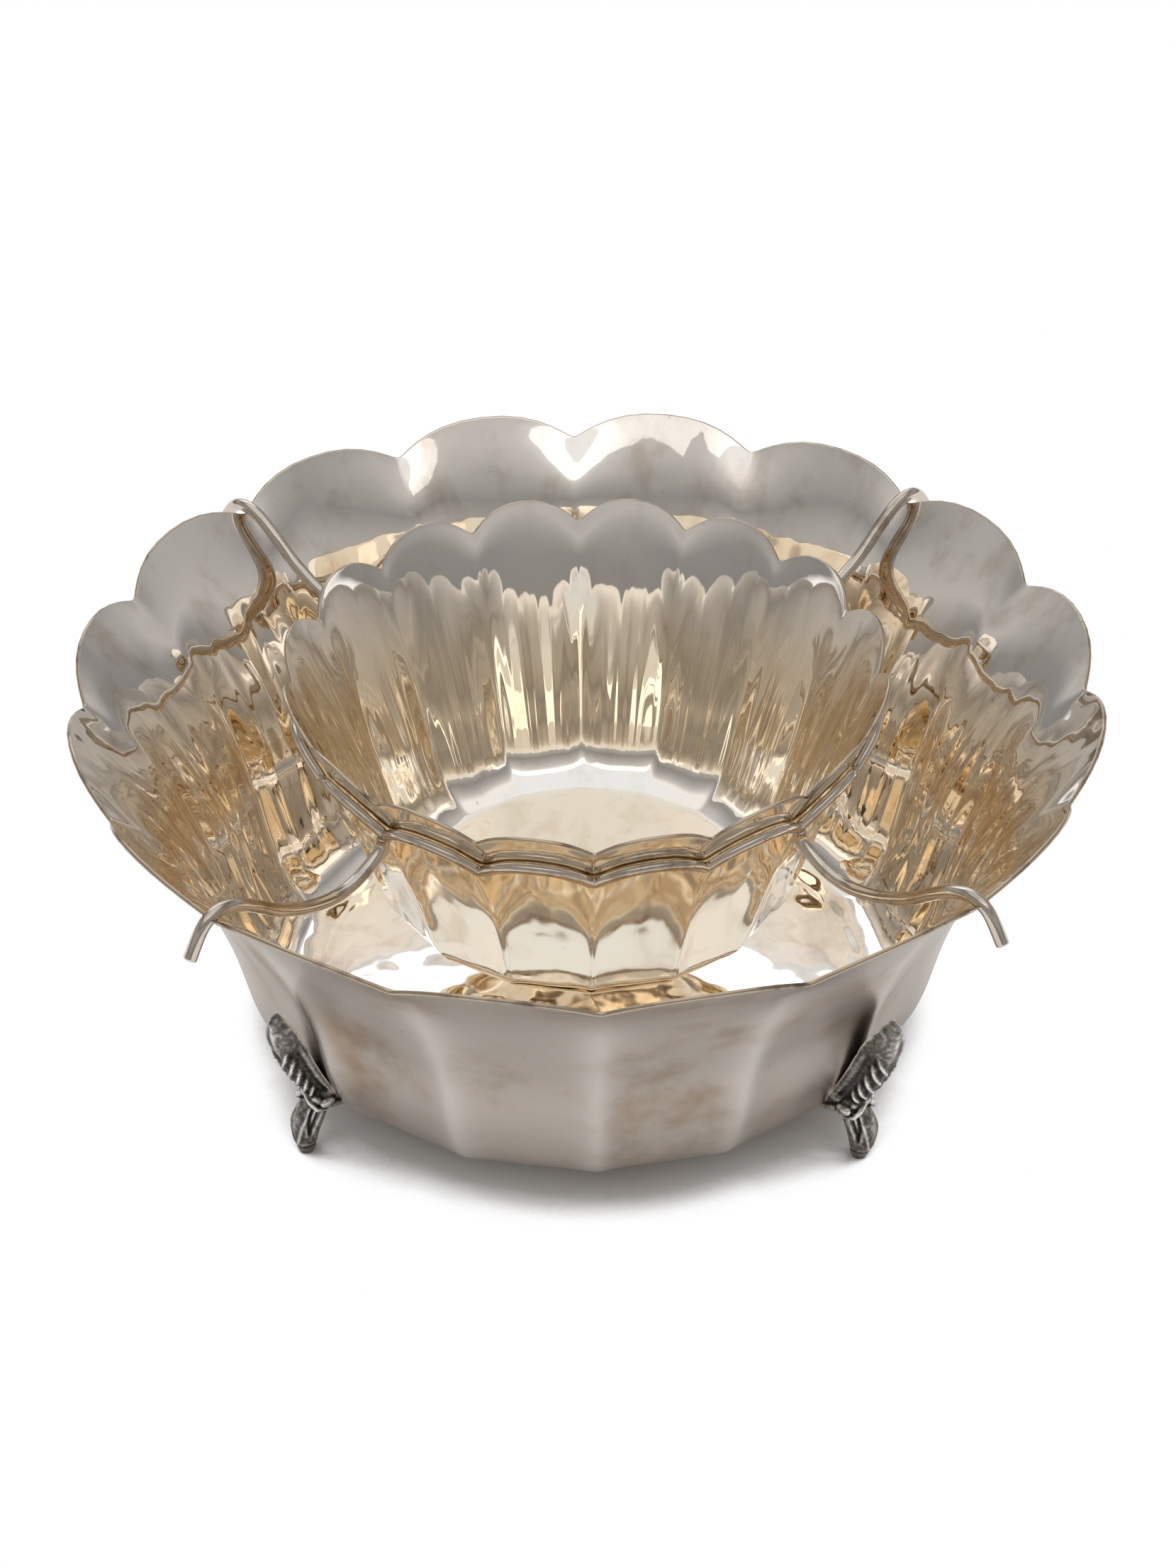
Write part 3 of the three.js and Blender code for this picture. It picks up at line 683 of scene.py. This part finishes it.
# Each foot is darker and browner in its lowest three millimetres, down at the toe.
height = joined(tree, "ShaderNodeSeparateXYZ", Vector=place).outputs["Z"]
low_down = joined(tree, "ShaderNodeMapRange", Value=height, From_Min=0.0032, From_Max=0.0018).outputs[0]
toe_brown = blended(tree, low_down, silvering.outputs["Color"], (0.5, 0.4, 0.34, 1), "MULTIPLY")
tree.links.new(toe_brown, shader.inputs["Base Color"])
dull = joined(tree, "ShaderNodeMapRange", Value=rubbed, To_Min=0.45, To_Max=0.14)
tree.links.new(dull.outputs[0], shader.inputs["Roughness"])
pits = joined(tree, "ShaderNodeBump", Strength=0.6, Distance=0.0001, Height=grime)
tree.links.new(pits.outputs["Normal"], shader.inputs["Normal"])

# The front left foot was soldered on a little off its crease, away from the front.
FOOT_SLIP = -5
on_crease, off_crease = cast_foot(0), cast_foot(FOOT_SLIP / 360)
for corner, degrees in CORNERS.items():
    slipped = corner == "front_left"
    mesh = (off_crease if slipped else on_crease).copy()
    mesh.name = "foot_casting_" + corner
    mesh.transform(Matrix.Rotation(math.radians(degrees + (FOOT_SLIP if slipped else 0)), 4, "Z"))
    foot = bpy.data.objects.new("foot_casting_" + corner, mesh)
    bpy.context.scene.collection.objects.link(foot)
    foot.data.materials.append(foot_silver)
    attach(foot, "ice_bowl_on_feet")
    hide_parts("foot_" + corner)


# Studio. A pale floor in a plain room, lit by two softboxes. The camera and the silver see the floor
# white where it is open, and lit by the lamps where the object stands over it and shades it.
bm = bmesh.new()
bmesh.ops.create_grid(bm, x_segments=1, y_segments=1, size=6)
floor_mesh = bpy.data.meshes.new("floor")
bm.to_mesh(floor_mesh)
bm.free()
floor = bpy.data.objects.new("floor", floor_mesh)
bpy.context.scene.collection.objects.link(floor)
pale = bpy.data.materials.new("pale floor")
pale.use_nodes = True
tree = pale.node_tree
shader = tree.nodes["Principled BSDF"]
shader.inputs["Base Color"].default_value = (0.93, 0.92, 0.905, 1)
shader.inputs["Roughness"].default_value = 0.9
shader.inputs["Specular IOR Level"].default_value = 0


def light_paths(tree):
    """The kinds of ray, and a mask of those that see the background: camera, clear and mirror rays."""
    path = joined(tree, "ShaderNodeLightPath").outputs
    direct = maths(tree, "MAXIMUM", path["Is Camera Ray"], path["Is Transmission Ray"])
    return path, maths(tree, "MAXIMUM", direct, path["Is Glossy Ray"])


def open_floor(reach, shut, open):
    """1 where nothing stands over the floor within this reach, and 0 in the shade."""
    ambient = joined(tree, "ShaderNodeAmbientOcclusion", {"samples": 16}, Distance=reach)
    return eased(tree, ambient.outputs["AO"], shut, open)


path, seen = light_paths(tree)
close_shade = open_floor(0.03, 0.42, 0.56)
wide_shade = open_floor(0.10, 0.30, 0.88)
openness = joined(tree, "ShaderNodeMix", _0=path["Is Glossy Ray"], _2=close_shade, _3=wide_shade)
white = maths(tree, "MULTIPLY", openness.outputs[0], seen)
backdrop = joined(tree, "ShaderNodeEmission", Color=(1, 1, 1, 1), Strength=1.0)
lit = joined(tree, "ShaderNodeMixShader", _0=white, _1=shader.outputs[0], _2=backdrop.outputs[0])
tree.links.new(lit.outputs[0], tree.nodes["Material Output"].inputs["Surface"])
floor.data.materials.append(pale)


def softbox(name, place, aim, size, power):
    data = bpy.data.lights.new(name, "AREA")
    data.shape = "RECTANGLE"
    data.size, data.size_y = size
    data.energy = power
    lamp = bpy.data.objects.new(name, data)
    lamp.location = place
    lamp.rotation_mode = "QUATERNION"
    lamp.rotation_quaternion = (Vector(aim) - Vector(place)).to_track_quat("-Z", "Y")
    bpy.context.scene.collection.objects.link(lamp)


softbox("front softbox", (0.15, -0.8, 1.75), (0, 0, 0.05), (1.5, 0.28), 0.55)
softbox("back softbox", (-0.3, 1.7, 1.25), (0, 0, 0.05), (1.7, 0.8), 3.4)

world = bpy.data.worlds.new("white room")
bpy.context.scene.world = world
world.use_nodes = True
room = world.node_tree
plain = room.nodes["Background"]
plain.inputs["Color"].default_value = (1, 1, 1, 1)
plain.inputs["Strength"].default_value = 0.5
_, seen = light_paths(room)
way = joined(room, "ShaderNodeTexCoord").outputs["Generated"]
upward = joined(room, "ShaderNodeSeparateXYZ", Vector=way).outputs["Z"]
bands = joined(room, "ShaderNodeValToRGB", _0=upward)
ramp = bands.color_ramp
ramp.elements[0].position, ramp.elements[0].color = 0.03, (1, 1, 1, 1)
ramp.elements[1].position, ramp.elements[1].color = 0.96, (0.88, 0.92, 0.96, 1)
# How bright the room is at each height, as the way up from the horizon, 0, to overhead, 1.
ROOM_BANDS = [
    (0.06, 0.25), (0.17, 0.28), (0.32, 0.5), (0.5, 0.42),
    (0.62, 0.29), (0.72, 0.42), (0.80, 0.6), (0.86, 0.95),
]
for rise, grey in ROOM_BANDS:
    ramp.elements.new(rise).color = (grey, 0.98 * grey, 0.97 * grey, 1)


def bright_wall(under, toward, narrow, wide):
    """Pale blue where the room is lit from this side."""
    dot = joined(room, "ShaderNodeVectorMath", {"operation": "DOT_PRODUCT"}, _0=way, _1=toward)
    share = eased(room, dot.outputs["Value"], wide, narrow)
    return blended(room, share, under, (0.82, 0.86, 0.9, 1))


lit_room = bright_wall(bands.outputs["Color"], (-0.1, 0.85, 0.52), 0.94, 0.86)
banded = joined(room, "ShaderNodeBackground", Color=lit_room, Strength=1.0)
mixed = joined(room, "ShaderNodeMixShader", _0=seen, _1=plain.outputs[0], _2=banded.outputs[0])
room.links.new(mixed.outputs[0], room.nodes["World Output"].inputs["Surface"])


# Camera, at the photograph's angle. It looks down at the notches of the ice bowl's rim, which stand at
# the middle of the frame apart from small offsets, and its angles are in radians.
tilt, roll, turn = 0.6281, -0.002, -0.0263
distance, aside, below = 1.11652, 0.000515, 0.022202
away = Vector((0, math.cos(tilt), -math.sin(tilt)))
level_up = Vector((0, math.sin(tilt), math.cos(tilt)))
right = Vector((math.cos(roll), 0, 0)) + math.sin(roll) * level_up
up = -math.sin(roll) * Vector((1, 0, 0)) + math.cos(roll) * level_up
place = Vector((0, 0, NOTCH_HEIGHT)) - distance * away + aside * right - below * up
axes = Matrix((right, up, -away)).transposed().to_4x4()
camera_data = bpy.data.cameras.new("camera")
camera_data.lens = 97.65
camera_data.sensor_width = 36
camera = bpy.data.objects.new("camera", camera_data)
camera.matrix_world = Matrix.Rotation(turn, 4, "Z") @ Matrix.Translation(place) @ axes
bpy.context.scene.collection.objects.link(camera)
bpy.context.scene.camera = camera
bpy.context.scene.view_settings.view_transform = "Standard"
# The bowls mirror each other many times over, and with fewer bounces the silver goes black.
bpy.context.scene.cycles.glossy_bounces = 8
